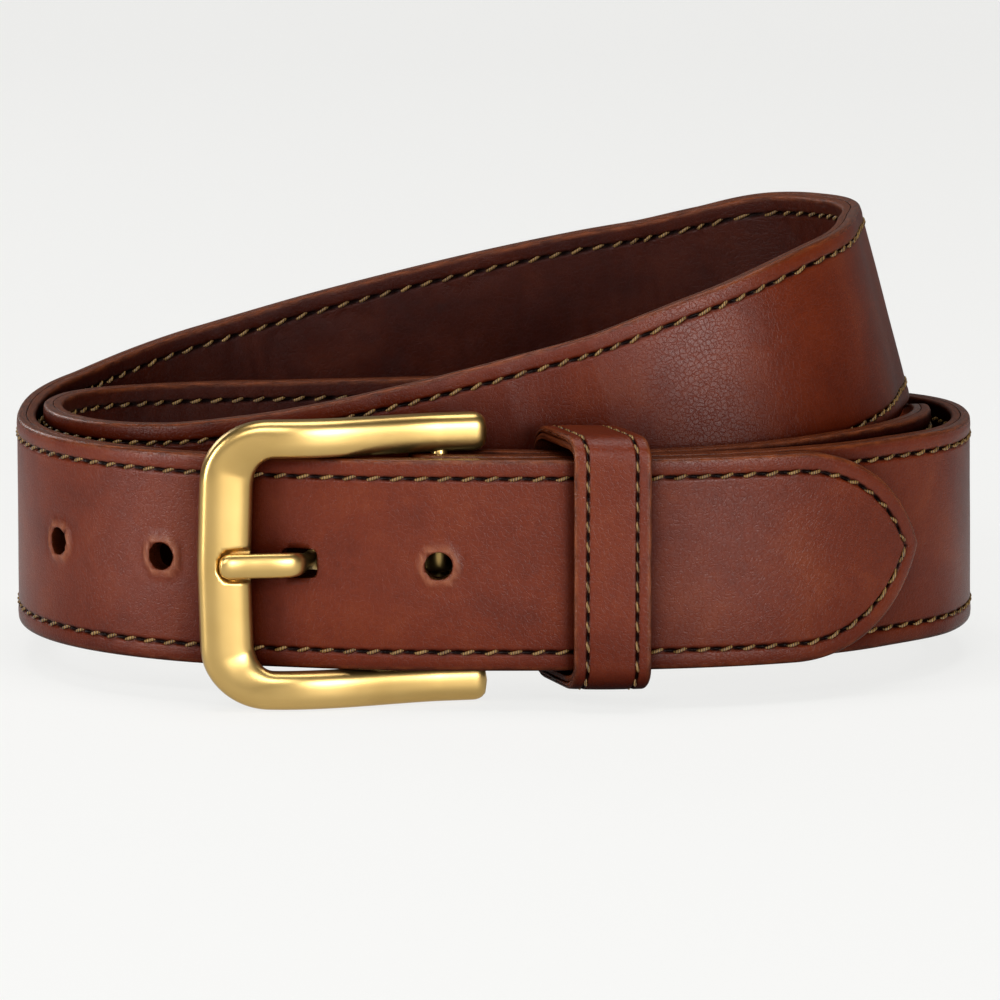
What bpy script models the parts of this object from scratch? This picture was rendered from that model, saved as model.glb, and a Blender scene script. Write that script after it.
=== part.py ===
"""A leather dress belt, buckled and coiled in two turns.

Lengths are in millimetres up to the mesh, which is in metres, and are measured from the middle of the coil
on the plane of the strap's lower edge. The finished belt's origin is the middle of its whole box, at the
level of the buckle's lower arm, which TO_ORIGIN leads to. +X runs along the front of the coil, from the
buckle towards the tip, +Y runs into the coil and +Z is up. The strap is one strip of two plies. From the
tip it runs through the keeper and the buckle, makes two turns of the coil, folds round the hinge bar and
turns back inside itself.
"""

import math

import bmesh
import bpy
import numpy as np

METRE = 0.001
TO_ORIGIN = np.array((0.0, 1.45, 6.7))

# Strap
STRAP_WIDTH = 38.1
PLY = 1.8
GLUE_GAP = 0.3
HALF_THICK = PLY + GLUE_GAP / 2
EDGE_BEVEL = 0.5
STITCH_INSET = 3.4
GROOVE_HALF_WIDTH = 0.6
GROOVE_DEPTH = 0.7
# A thread in its groove: how deep and how wide it is as a share of the groove, and how far it stands out.
THREAD_SINK = 0.62
THREAD_SPREAD = 0.38
THREAD_RISE = 0.08
MID_HEIGHT = STRAP_WIDTH / 2
TIP_LENGTH = 28.0
TIP_RADIUS = (TIP_LENGTH**2 + MID_HEIGHT**2) / (2 * MID_HEIGHT)
TIP_STATIONS = (0.6, 2.2, 4.8, 7.4, 10.6, 14.6, 19.0, 23.5, 28.0)

# Holes
HOLE_PITCH = 25.4
HOLE_RADIUS = 2.5
HOLE_IN_USE_X = -35.0
HOLES_BEFORE = 1
HOLES_AFTER = 2
PUNCH_LENGTH = 8.0
PRONG_HOLE = (6.6, 5.4)
PRONG_HOLE_SHIFT = 0.5
# The long hole is a rounded square: its corners lie at these angles to each side's middle, in radians.
PRONG_HOLE_CORNERS = (0.55, 1.02)

# Coil: a flattened oval. Each row of a course holds the angle travelled from the +X axis, clockwise seen
# from above, then how far inside the oval the strap's middle lies, the height of its lower edge and its
# lean towards the middle of the coil, in degrees.
COIL_HALF_X = 89.0
COIL_HALF_Y = 68.0
COIL_SQUARENESS = 2.5
TIP_ANGLE = 28.3
FOLD_ANGLE = 819.3
TAIL_ANGLE = 692.0
COURSE = (
    (28, 1.95, 0, 0),
    (105, 1.95, 0, 0),
    (121, 2.75, 0, 0),
    (136, 1.95, 0, 0),
    (180, 1.95, 0, 0),
    (205, 1.95, 1.9, 0),
    (230, 1.95, 9.1, 1),
    (250, 1.95, 15.6, 2),
    (270, 1.95, 21.4, 3),
    (290, 1.95, 26.8, 6),
    (300, 2, 29.5, 9),
    (310, 2.4, 33, 12),
    (320, 3.2, 36.2, 14),
    (330, 5.5, 37, 15),
    (345, 10.2, 37.4, 15),
    (362, 14.7, 37.3, 14),
    (380, 16.2, 35.6, 12),
    (400, 17, 28.9, 9),
    (420, 18.4, 21, 6),
    (437, 20.15, 16.4, 4.2),
    (450, 20.5, 13.5, 3),
    (465, 20.2, 10.5, 1.8),
    (480, 18.75, 7.4, 0.6),
    (492, 16.5, 5, 0),
    (505, 13, 2.8, 0),
    (520, 9.3, 1.8, 0),
    (530, 7.5, 1.6, 0),
    (539, 6.8, 1.4, 0),
    (547, 8.1, 1.2, 0),
    (555, 11.4, 0.9, 0),
    (564, 16.4, 0.45, 0),
    (574, 21.2, 0.2, 0),
    (585, 24.4, 0, 0),
    (598, 25.6, 0, 0),
    (611, 24.9, 0, 0),
    (630, 22.5, 0, 0),
    (652, 17.6, 0, 0),
    (672, 12, -1.8, 4),
    (681, 8.6, -2.4, 8),
    (690, 5.2, -1.9, 7),
    (700, 3.2, -1.3, 4),
    (720, 1.95, -0.4, 1),
    (735, 3.4, -0.2, 0),
    (750, 6.5, 0, 0),
    (765, 6.7, 0, 0),
    (830, 6.7, 0, 0),
)
TURN_BACK = (
    (692, 9.8, -2.4, 8),
    (705, 9.2, -2, 5),
    (713, 9.1, -1, 3),
    (724, 9.3, 1, 1),
    (737, 10, 1.6, 0),
    (752, 11.3, 1.2, 0),
    (768, 11.5, 0.4, 0),
    (785, 11.5, 0, 0),
    (790, 11.5, 0, 0),
    (803, 12.4, 0, 0),
    (813, 13.9, 0, 0),
    (830, 14.2, 0, 0),
)
FOLD_RADIUS = 3.75
TURN_PER_STATION = 13.0
LENGTH_PER_STATION = 45.0

# Buckle
FRAME_HALF_HEIGHT = 22.7
ARM_SIZE = (6.3, 5.0)
BAR_SIZE = (8.8, 5.2)
FRAME_CORNER = 8.0
ARM_OVERRUN = 7.6
FRONT_BAR = (-47.9, -65.7)
ARM_BOW = 3.5
BAR_BOW = 0.8
NOTCH_DEPTH = 1.3
NOTCH_REACH = 3.2
NOTCH_HEIGHT = 5.6
HINGE_RADIUS = 1.5
CLEARANCE = 0.3
HINGE_HALF_LENGTH = 22.4
PRONG_SIZE = (2.3, 4.5)
PRONG_EYE_RADIUS = 3.3
PRONG_COURSE = (
    (-11.5, -57.5),
    (-20.0, -57.5),
    (-28.9, -58.0),
    (-32.7, -60.0),
    (-34.0, -63.0),
    (-35.2, -65.9),
    (-37.8, -67.1),
    (-42.5, -67.8),
    (-46.0, -68.3),
    (-48.6, -69.0),
)
FOLD_SLOT_X = (-16.5, -5.0)
FOLD_SLOT_Y = (-63.38, -50.0)
FOLD_SLOT_HALF_HEIGHT = 3.4

# Keeper
KEEPER_X = 21.0
KEEPER_SKEW = -7.0
KEEPER_WIDTH = 13.8
KEEPER_Y = (-70.8, -50.4)
KEEPER_Z = (-3.5, 42.6)
KEEPER_CORNER = 4.2
KEEPER_PLIES = (1.2, 1.1)
KEEPER_GLUE_GAP = 0.2
KEEPER_STITCH_INSET = 2.5
KEEPER_GROOVE = (0.45, 0.5)
BUTT_GAP = 0.4
STAPLE_REACH = 3.0
STAPLE_WIRE = 0.7

# Stitches across the fold
FOLD_STITCH_X = -1.0
FOLD_STITCH_GAP = 0.5
FOLD_STITCH_HALF_HEIGHT = 14.0
THREAD = 0.4

LEATHER = (0.16, 0.045, 0.022)
LINING = (0.10, 0.028, 0.014)
THREAD_COLOUR = (0.22, 0.11, 0.025)
BRASS = (0.78, 0.50, 0.16)
STEEL = (0.55, 0.52, 0.48)


def clear_scene():
    for thing in list(bpy.data.objects):
        bpy.data.objects.remove(thing, do_unlink=True)


def material(name, colour, roughness, metallic=0.0):
    finish = bpy.data.materials.new(name)
    finish.use_nodes = True
    shader = finish.node_tree.nodes["Principled BSDF"]
    shader.inputs["Base Color"].default_value = (*colour, 1.0)
    shader.inputs["Roughness"].default_value = roughness
    shader.inputs["Metallic"].default_value = metallic
    return finish


def add_object(name, mesh, finish=None):
    thing = bpy.data.objects.new(name, mesh)
    bpy.context.scene.collection.objects.link(thing)
    if finish:
        mesh.materials.append(finish)
        mesh.shade_smooth()
        mesh.set_sharp_from_angle(angle=math.radians(35))
    return thing


def loft(name, rings, finish=None):
    """A closed solid through rings that all have the same number of points, with flat ends."""
    shape = bmesh.new()
    loops = [[shape.verts.new((np.asarray(point) + TO_ORIGIN) * METRE) for point in ring] for ring in rings]
    for near, far in zip(loops, loops[1:]):
        for i in range(len(near)):
            j = (i + 1) % len(near)
            shape.faces.new((near[i], near[j], far[j], far[i]))
    shape.faces.new(loops[0])
    shape.faces.new(loops[-1])
    bmesh.ops.recalc_face_normals(shape, faces=shape.faces)
    mesh = bpy.data.meshes.new(name)
    shape.to_mesh(mesh)
    shape.free()
    return add_object(name, mesh, finish)


def outline_prism(name, outline, direction, finish=None):
    """A solid that carries a closed outline along one direction."""
    outline = np.asarray(outline, float)
    return loft(name, (outline, outline + np.asarray(direction, float)), finish)


def round_bar(name, centre, radius, length, sides=16, finish=None):
    """A vertical cylinder, given by the middle of its axis."""
    turns = [math.tau * (i + 0.5) / sides for i in range(sides)]
    foot = np.asarray(centre) - (0, 0, length / 2)
    ring = [foot + (radius * math.cos(t), radius * math.sin(t), 0) for t in turns]
    return outline_prism(name, ring, (0, 0, length), finish)


def use_tool(target, tool, operation):
    tool.hide_render = True
    tool.display_type = "WIRE"
    change = target.modifiers.new(tool.name, "BOOLEAN")
    change.operation = operation
    change.solver = "EXACT"
    change.object = tool


def course_value(course, column, angle):
    """A smooth curve through one column of a course that never overshoots its rows."""
    rows = np.array(course, float)
    knots = rows[:, 0]
    values = rows[:, column]
    steps = np.diff(knots)
    slopes = np.diff(values) / steps
    tangents = np.zeros(len(knots))
    tangents[0] = slopes[0]
    tangents[-1] = slopes[-1]
    for i in range(1, len(knots) - 1):
        if slopes[i - 1] * slopes[i] > 0:
            first = 2 * steps[i] + steps[i - 1]
            second = steps[i] + 2 * steps[i - 1]
            tangents[i] = (first + second) / (first / slopes[i - 1] + second / slopes[i])
    angle = np.clip(angle, knots[0], knots[-1])
    i = np.clip(np.searchsorted(knots, angle, side="right") - 1, 0, len(steps) - 1)
    t = (angle - knots[i]) / steps[i]
    start = (2 * t**3 - 3 * t**2 + 1) * values[i] + (t**3 - 2 * t**2 + t) * steps[i] * tangents[i]
    end = (3 * t**2 - 2 * t**3) * values[i + 1] + (t**3 - t**2) * steps[i] * tangents[i + 1]
    return start + end


def coil_points(angles, course):
    """Points of the lower edge's middle at these angles, and the lean at each one."""
    inset = course_value(course, 1, angles)
    turn = -np.radians(angles)
    across = np.abs(np.cos(turn) / (COIL_HALF_X - inset)) ** COIL_SQUARENESS
    along = np.abs(np.sin(turn) / (COIL_HALF_Y - inset)) ** COIL_SQUARENESS
    radius = (across + along) ** (-1 / COIL_SQUARENESS)
    level = course_value(course, 2, angles)
    points = np.stack([radius * np.cos(turn), radius * np.sin(turn), level], axis=1)
    return points, course_value(course, 3, angles)


def hinge_centre():
    """The hinge bar's axis in plan: the fold runs round it at FOLD_RADIUS."""
    end = coil_points(np.array([FOLD_ANGLE]), COURSE)[0][0]
    return np.array([end[0], end[1] + FOLD_RADIUS])


def strap_line():
    """The strap's middle line, finely sampled from the tip to the end of the turn-back."""
    turns, turn_leans = coil_points(np.arange(TIP_ANGLE, FOLD_ANGLE, 0.5), COURSE)
    bend = np.radians(np.arange(0, 181, 6.0))
    centre = hinge_centre()
    fold_x = centre[0] - FOLD_RADIUS * np.sin(bend)
    fold_y = centre[1] - FOLD_RADIUS * np.cos(bend)
    fold = np.stack([fold_x, fold_y, 0 * bend], axis=1)
    back, back_leans = coil_points(np.arange(FOLD_ANGLE - 1.0, TAIL_ANGLE, -0.5), TURN_BACK)
    line = np.concatenate([turns, fold, back])
    leans = np.concatenate([turn_leans, 0 * bend, -back_leans])
    return line, leans


def stations():
    """Positions along the strap: its distance from the tip, place, outward and upward directions."""
    line, leans = strap_line()
    steps = np.linalg.norm(np.diff(line, axis=0), axis=1)
    distance = np.concatenate([[0], np.cumsum(steps)])
    forward = np.gradient(line, axis=0)
    forward /= np.linalg.norm(forward, axis=1)[:, None]
    heading = np.unwrap(np.arctan2(forward[:, 1], forward[:, 0]))
    cost = np.degrees(np.abs(np.diff(heading))) / TURN_PER_STATION + steps / LENGTH_PER_STATION
    cost = np.concatenate([[0], np.cumsum(cost)])
    after_tip = cost[np.searchsorted(distance, TIP_LENGTH)]
    count = math.ceil(cost[-1] - after_tip)
    wanted = np.linspace(after_tip, cost[-1], count + 1)[1:]
    chosen = np.concatenate([TIP_STATIONS, np.interp(wanted, cost, distance)])

    def at(values):
        return np.stack([np.interp(chosen, distance, column) for column in values.T], axis=1)

    place = at(line)
    ahead = at(forward)
    ahead /= np.linalg.norm(ahead, axis=1)[:, None]
    lean = np.radians(np.interp(chosen, distance, leans))[:, None]
    side = np.stack([-ahead[:, 1], ahead[:, 0], 0 * ahead[:, 0]], axis=1)
    side /= np.linalg.norm(side, axis=1)[:, None]
    up = np.cos(lean) * np.array([0, 0, 1.0]) - np.sin(lean) * side
    up -= np.sum(up * ahead, axis=1)[:, None] * ahead
    up /= np.linalg.norm(up, axis=1)[:, None]
    out = np.cross(up, ahead)
    return chosen, place, out, up


def tip_half_width(distance, inset=0.0):
    """Half the strap's width at this distance from the tip's point, or half the stitch lines' spacing."""
    if distance >= TIP_LENGTH:
        return MID_HEIGHT - inset
    reach = (TIP_RADIUS - inset) ** 2 - (TIP_LENGTH - distance) ** 2
    return MID_HEIGHT - TIP_RADIUS + math.sqrt(max(reach, 0.0))


def ply_section(low, high, half_width, stitch, groove, bevel, groove_side):
    """A ply's section: (outward, upward) points about the strap's middle, with a V groove at each stitch line."""
    face = high if groove_side > 0 else low
    half, depth = groove
    floor = face - groove_side * depth
    corner = max(bevel, 0.01)
    lower = [(face, -stitch - half), (floor, -stitch), (face, -stitch + half)]
    upper = [(face, stitch - half), (floor, stitch), (face, stitch + half)]
    ends = [(face - groove_side * corner, half_width), (face - groove_side * corner, -half_width)]
    edges = [(face, -half_width + corner), (face, half_width - corner)]
    other = low if groove_side > 0 else high
    far = [(other, half_width), (other, -half_width)]
    return [edges[0], *lower, *upper, edges[1], ends[0], *far, ends[1]]


def thread_section(face, side, stitch, groove):
    """A thread's three-cornered section, lying in its V groove."""
    half, depth = groove
    bottom = face - side * depth * THREAD_SINK
    top = face + side * THREAD_RISE
    spread = half * THREAD_SPREAD
    return [(bottom, stitch), (top, stitch + spread), (top, stitch - spread)]


def carry(section, place, out, up, middle):
    """A section of (outward, upward) points set at one station."""
    return [place + out * h + up * (middle + w) for h, w in section]


def strap_ply(name, low, high, groove_side, finish):
    rings = []
    for distance, place, out, up in zip(*stations()):
        stitch = tip_half_width(distance, STITCH_INSET)
        grooved = stitch > GROOVE_HALF_WIDTH + 0.1
        stitch = max(stitch, GROOVE_HALF_WIDTH)
        groove = (GROOVE_HALF_WIDTH if grooved else 0.3, GROOVE_DEPTH if grooved else 0.0)
        bevel = EDGE_BEVEL if groove_side > 0 else 0.15
        half_width = tip_half_width(distance)
        section = ply_section(low, high, half_width, stitch, groove, min(bevel, 0.3 * half_width), groove_side)
        rings.append(carry(section, place, out, up, MID_HEIGHT))
    return loft(name, rings, finish)


def strap_thread(name, face, side, row, finish):
    """One row of stitching along an edge: row is 1 for the upper edge and -1 for the lower one."""
    groove = (GROOVE_HALF_WIDTH, GROOVE_DEPTH)
    rings = []
    for distance, place, out, up in zip(*stations()):
        stitch = tip_half_width(distance, STITCH_INSET)
        if stitch > GROOVE_HALF_WIDTH + 0.1:
            rings.append(carry(thread_section(face, side, row * stitch, groove), place, out, up, MID_HEIGHT))
    return loft(name, rings, finish)


def hole_cutters():
    """Punches for the round holes, one pitch apart along the strap, and the long one that the prong is in."""
    line = strap_line()[0]
    distance = np.concatenate([[0], np.cumsum(np.linalg.norm(np.diff(line, axis=0), axis=1))])
    billet = line[: len(line) // 8]
    used = distance[np.argmin(np.abs(billet[:, 0] - HOLE_IN_USE_X))]
    tools = []
    for number in range(-HOLES_BEFORE, HOLES_AFTER + 1):
        here = used + number * HOLE_PITCH
        spot = np.array([np.interp(here, distance, column) for column in line.T])
        nearby = np.array([np.interp(here + 1, distance, column) for column in line.T])
        ahead = (nearby - spot) / np.linalg.norm(nearby - spot)
        through = np.cross((0, 0, 1), ahead)
        middle = spot - through * PUNCH_LENGTH / 2 + (0, 0, MID_HEIGHT)
        sides = 12
        turns = [math.tau * (i + 0.5) / sides for i in range(sides)]
        wide, tall = (HOLE_RADIUS, HOLE_RADIUS)
        if number == 0:
            middle = middle - ahead * PRONG_HOLE_SHIFT
            turns = [math.tau * i / 4 + corner for i in range(4) for corner in PRONG_HOLE_CORNERS]
            wide, tall = (size / 2 / math.cos(PRONG_HOLE_CORNERS[0]) for size in PRONG_HOLE)
        ring = [middle + ahead * wide * math.cos(t) + np.array((0, 0, tall * math.sin(t))) for t in turns]
        tools.append(outline_prism(f"punch_{number + HOLES_BEFORE}", ring, through * PUNCH_LENGTH))
    return tools


def box(name, low, high):
    (x0, y0, z0), (x1, y1, z1) = low, high
    foot = [(x0, y0, z0), (x1, y0, z0), (x1, y1, z0), (x0, y1, z0)]
    return outline_prism(name, foot, (0, 0, z1 - z0))


def fold_slot():
    """The slot across the fold that the prong's eye turns in."""
    low = (FOLD_SLOT_X[0], FOLD_SLOT_Y[0], MID_HEIGHT - FOLD_SLOT_HALF_HEIGHT)
    high = (FOLD_SLOT_X[1], FOLD_SLOT_Y[1], MID_HEIGHT + FOLD_SLOT_HALF_HEIGHT)
    return box("slot", low, high)


def make_strap(leather, lining, thread):
    outer = strap_ply("strap_outer", GLUE_GAP / 2, HALF_THICK, 1, leather)
    inner = strap_ply("strap_lining", -HALF_THICK, -GLUE_GAP / 2, -1, lining)
    for tool in [*hole_cutters(), fold_slot()]:
        use_tool(outer, tool, "DIFFERENCE")
        use_tool(inner, tool, "DIFFERENCE")
    for label, row in (("upper", 1), ("lower", -1)):
        strap_thread(f"{label}_stitching_front", HALF_THICK, 1, row, thread)
        strap_thread(f"{label}_stitching_back", -HALF_THICK, -1, row, thread)


def buckle_axes():
    """The buckle's plane in plan: the hinge axis, the direction to the front bar and the outward normal."""
    centre = hinge_centre()
    reach = np.array(FRONT_BAR) - centre
    length = np.linalg.norm(reach)
    along = reach / length
    return centre, along, np.array([-along[1], along[0]]), length


def in_buckle(along_plane, outward, height):
    centre, along, normal, _ = buckle_axes()
    plan = centre + along * along_plane + normal * outward
    return np.array([plan[0], plan[1], MID_HEIGHT + height])


def frame_path():
    """The frame's middle line in its plane, from the upper arm's end round the front bar to the lower one's."""
    length = buckle_axes()[3]
    corner = np.radians(np.linspace(90, 0, 7))
    bend_x = length - FRAME_CORNER
    bend_z = FRAME_HALF_HEIGHT - FRAME_CORNER
    upper = [(-ARM_OVERRUN, FRAME_HALF_HEIGHT), (bend_x / 2, FRAME_HALF_HEIGHT)]
    upper += [(bend_x + FRAME_CORNER * math.cos(a), bend_z + FRAME_CORNER * math.sin(a)) for a in corner]
    upper = [(x + BAR_BOW * max(0, 1 - abs(z) / FRAME_HALF_HEIGHT), z) for x, z in upper]
    upper += [(length + BAR_BOW * 0.85, FRAME_CORNER * 0.35)]
    return upper + [(x, -z) for x, z in reversed(upper)]


def rounded_section(width, depth, count=12, squareness=2.6):
    turns = [math.tau * (i + 0.5) / count for i in range(count)]

    def part(value, half):
        return half * math.copysign(abs(value) ** (2 / squareness), value)

    return [(part(math.cos(t), width / 2), part(math.sin(t), depth / 2)) for t in turns]


def make_frame(brass):
    path = np.array(frame_path())
    forward = np.gradient(path, axis=0)
    forward /= np.linalg.norm(forward, axis=1)[:, None]
    length = buckle_axes()[3]
    rings = []
    for (x, z), (ahead_x, ahead_z) in zip(path, forward):
        share = min(max((x - (length - FRAME_CORNER)) / FRAME_CORNER, 0), 1) ** 1.5
        width = ARM_SIZE[0] + (BAR_SIZE[0] - ARM_SIZE[0]) * share
        depth = ARM_SIZE[1] + (BAR_SIZE[1] - ARM_SIZE[1]) * share
        section = rounded_section(width, depth)
        bow = ARM_BOW * math.sin(math.pi * min(max(x / length, 0), 1) ** 1.4)
        rings.append([in_buckle(x - ahead_z * a, bow + b, z + ahead_x * a) for a, b in section])
    # The arms' ends are domed.
    for index, step in ((0, 1), (-1, -1)):
        ring = np.array(rings[index])
        middle = ring.mean(axis=0)
        outward = middle - np.array(rings[index + step]).mean(axis=0)
        outward /= np.linalg.norm(outward)
        for reach, scale in ((0.7, 0.9), (1.2, 0.62)):
            cap = middle + (ring - middle) * scale + outward * reach
            rings.insert(0 if index == 0 else len(rings), cap)
    frame = loft("buckle_frame", rings, brass)
    low = [length - BAR_SIZE[0], BAR_SIZE[1] / 2 - NOTCH_DEPTH]
    high = [length + NOTCH_REACH, BAR_SIZE[1]]
    corners = [(low[0], low[1]), (high[0], low[1]), (high[0], high[1]), (low[0], high[1])]
    foot = [in_buckle(a, b, -NOTCH_HEIGHT / 2) for a, b in corners]
    use_tool(frame, outline_prism("notch", foot, (0, 0, NOTCH_HEIGHT)), "DIFFERENCE")
    x, y = hinge_centre()
    seat = HINGE_HALF_LENGTH + CLEARANCE
    use_tool(
        frame, round_bar("seat", (x, y, MID_HEIGHT), HINGE_RADIUS + CLEARANCE, 2 * seat), "DIFFERENCE"
    )
    return frame


def smooth_path(points, count):
    """Evenly spread points on a smooth curve through the given ones."""
    points = np.array(points, float)
    ends = np.concatenate([[2 * points[0] - points[1]], points, [2 * points[-1] - points[-2]]])
    fine = []
    for i in range(len(points) - 1):
        a, b, c, d = ends[i : i + 4]
        for t in np.linspace(0, 1, 12, endpoint=False):
            fine.append(
                0.5 * (2 * b + (c - a) * t + (2 * a - 5 * b + 4 * c - d) * t**2 + (3 * b - a - 3 * c + d) * t**3)
            )
    fine = np.array(fine + [points[-1]])
    distance = np.concatenate([[0], np.cumsum(np.linalg.norm(np.diff(fine, axis=0), axis=1))])
    wanted = np.linspace(0, distance[-1], count)
    return np.stack([np.interp(wanted, distance, column) for column in fine.T], axis=1)


def make_prong(brass):
    path = smooth_path(PRONG_COURSE, 22)
    forward = np.gradient(path, axis=0)
    forward /= np.linalg.norm(forward, axis=1)[:, None]
    rings = []
    for (x, y), (ahead_x, ahead_y) in zip(path, forward):
        section = rounded_section(*PRONG_SIZE, count=8, squareness=3.0)
        rings.append([(x - ahead_y * a, y + ahead_x * a, MID_HEIGHT + b) for a, b in section])
    last = np.array(rings[-1])
    middle = last.mean(axis=0)
    tip = np.array([forward[-1][0], forward[-1][1], 0]) * 0.8
    rings.append(middle + (last - middle) * (0.6, 0.6, 0.75) + tip)
    prong = loft("prong", rings, brass)
    x, y = hinge_centre()
    centre = (x, y, MID_HEIGHT)
    use_tool(prong, round_bar("eye", centre, PRONG_EYE_RADIUS, PRONG_SIZE[1] + 0.1), "UNION")
    use_tool(prong, round_bar("eye_bore", centre, HINGE_RADIUS + CLEARANCE, 2 * PRONG_SIZE[1]), "DIFFERENCE")
    return prong


def keeper_loop():
    """Stations round the keeper's outer face: place, outward direction, starting and ending at the back."""
    (front, back), (low, high) = KEEPER_Y, KEEPER_Z
    middle = (low + high) / 2
    start = middle + BUTT_GAP / 2
    corners = ((back, high, 0), (front, high, 90), (front, low, 180), (back, low, 270))
    outline = [(back, start, 1.0, 0.0)]
    for y, z, turn in corners:
        centre_y = y + math.copysign(KEEPER_CORNER, (front + back) / 2 - y)
        centre_z = z + math.copysign(KEEPER_CORNER, middle - z)
        for step in range(5):
            a = math.radians(turn + 22.5 * step)
            out_y, out_z = math.cos(a), math.sin(a)
            outline.append((centre_y + KEEPER_CORNER * out_y, centre_z + KEEPER_CORNER * out_z, out_y, out_z))
    outline.append((back, middle - BUTT_GAP / 2, 1.0, 0.0))
    loop = []
    for y, z, out_y, out_z in outline:
        x = KEEPER_X + KEEPER_SKEW * (y - front) / (back - front)
        loop.append((np.array((x, y, z)), np.array((0, out_y, out_z))))
    return loop


def keeper_band(name, section, finish):
    """A section of (outward, sideways) points carried round the keeper."""
    rings = []
    for place, out in keeper_loop():
        rings.append([place + out * h + np.array((w, 0, 0)) for h, w in section])
    return loft(name, rings, finish)


def make_keeper(leather, lining, thread, steel):
    outer_ply, inner_ply = KEEPER_PLIES
    half = KEEPER_WIDTH / 2
    stitch = half - KEEPER_STITCH_INSET
    inner_face = outer_ply + KEEPER_GLUE_GAP
    outer = ply_section(-outer_ply, 0.0, half, stitch, KEEPER_GROOVE, 0.3, 1)
    keeper_band("keeper_outer", outer, leather)
    low = -inner_face - inner_ply
    back = [(low, -half), (-inner_face, -half), (-inner_face, half), (low, half)]
    keeper_band("keeper_lining", back, lining)
    for label, side in (("right", 1), ("left", -1)):
        section = thread_section(0.0, 1, side * stitch, KEEPER_GROOVE)
        keeper_band(f"keeper_stitching_{label}", section, thread)
    x = KEEPER_X + KEEPER_SKEW
    y = KEEPER_Y[1] + 0.1
    z = sum(KEEPER_Z) / 2
    foot = [(x - STAPLE_WIRE, y), (x + STAPLE_WIRE, y), (x + STAPLE_WIRE, y + STAPLE_WIRE)]
    foot.append((x - STAPLE_WIRE, y + STAPLE_WIRE))
    outline_prism("keeper_staple", [(a, b, z - STAPLE_REACH) for a, b in foot], (0, 0, 2 * STAPLE_REACH), steel)


def make_fold_stitching(thread):
    """A row of stitches across the turn-back that holds the buckle in the fold."""
    inner_face = coil_points(np.array([810.0]), TURN_BACK)[0][0][1] + HALF_THICK
    y = inner_face + FOLD_STITCH_GAP
    x = FOLD_STITCH_X
    foot = [(x - THREAD, y), (x + THREAD, y), (x + THREAD, y + THREAD), (x - THREAD, y + THREAD)]
    low = MID_HEIGHT - FOLD_STITCH_HALF_HEIGHT
    outline_prism(
        "fold_stitching", [(a, b, low) for a, b in foot], (0, 0, 2 * FOLD_STITCH_HALF_HEIGHT), thread
    )


def main():
    clear_scene()
    leather = material("leather", LEATHER, 0.38)
    lining = material("lining", LINING, 0.6)
    thread = material("thread", THREAD_COLOUR, 0.7)
    brass = material("brass", BRASS, 0.28, 1.0)
    steel = material("steel", STEEL, 0.35, 1.0)
    make_strap(leather, lining, thread)
    make_fold_stitching(thread)
    make_frame(brass)
    x, y = hinge_centre()
    round_bar("hinge_bar", (x, y, MID_HEIGHT), HINGE_RADIUS, 2 * HINGE_HALF_LENGTH, finish=brass)
    make_prong(brass)
    make_keeper(leather, lining, thread, steel)


main()
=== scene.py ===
"""The looks of the coiled leather belt: fine leather, stitches, brass, studio and camera.

Lengths are in millimetres until a mesh is made. The strap follows the same middle line as the frame's solids,
measured from the middle of the coil on the plane of the strap's lower edge.
"""

import math

import bmesh
import bpy
import numpy as np
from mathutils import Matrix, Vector, noise


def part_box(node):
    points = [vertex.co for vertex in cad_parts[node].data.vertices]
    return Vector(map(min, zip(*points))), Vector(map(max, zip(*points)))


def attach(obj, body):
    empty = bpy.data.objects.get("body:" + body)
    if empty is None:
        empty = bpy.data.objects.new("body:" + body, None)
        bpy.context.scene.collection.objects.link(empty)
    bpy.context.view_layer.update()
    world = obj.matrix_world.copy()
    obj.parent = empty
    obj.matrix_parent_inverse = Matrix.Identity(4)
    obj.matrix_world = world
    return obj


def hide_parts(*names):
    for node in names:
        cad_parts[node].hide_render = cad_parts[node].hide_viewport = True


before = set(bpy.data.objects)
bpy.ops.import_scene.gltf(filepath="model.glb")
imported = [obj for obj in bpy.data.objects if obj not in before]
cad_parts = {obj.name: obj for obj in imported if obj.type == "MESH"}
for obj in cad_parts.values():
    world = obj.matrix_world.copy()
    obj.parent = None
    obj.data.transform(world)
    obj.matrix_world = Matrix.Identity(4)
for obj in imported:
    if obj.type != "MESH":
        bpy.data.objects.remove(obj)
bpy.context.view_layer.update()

METRE = 0.001

# Strap
STRAP_WIDTH = 38.1
MID_HEIGHT = STRAP_WIDTH / 2
HALF_THICK = 1.95
PLY_SEAM = 0.05
STITCH_INSET = 3.4
STITCH_PITCH = 4.2
# The part of each stitch's pitch that shows as thread, and the half length of the pit between stitches.
STITCH_SHARE = (0.2, 0.8)
PIT_SHARE = 0.2
TIP_LENGTH = 28.0
TIP_RADIUS = (TIP_LENGTH**2 + MID_HEIGHT**2) / (2 * MID_HEIGHT)
TIP_BLUNT = 0.25
STATION_STEP = 0.7
EDGE_ROUND = 0.6
# How far the faces lie below the solid's, so that their relief stays clear of the keeper's staple.
FACE_DROP = 0.20
# The crease along the stitches: half its width, its depth and the depth of the pits in it.
STITCH_GROOVE = (0.40, 0.26, 0.62)
# The swell between the edge and the crease: its distance from the edge, its width and its height.
EDGE_SWELL = (1.6, 0.8, 0.10)
RELIEF_SHARE = 0.6
RELIEF_FADE = 2.5
THREAD_RADIUS = 0.31
THREAD_DEPTH = 0.20
HOLE_PITCH = 25.4
HOLE_RADIUS = 2.5
HOLE_IN_USE_X = -35.0
HOLE_NUMBERS = (-1, 0, 1, 2)
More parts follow.
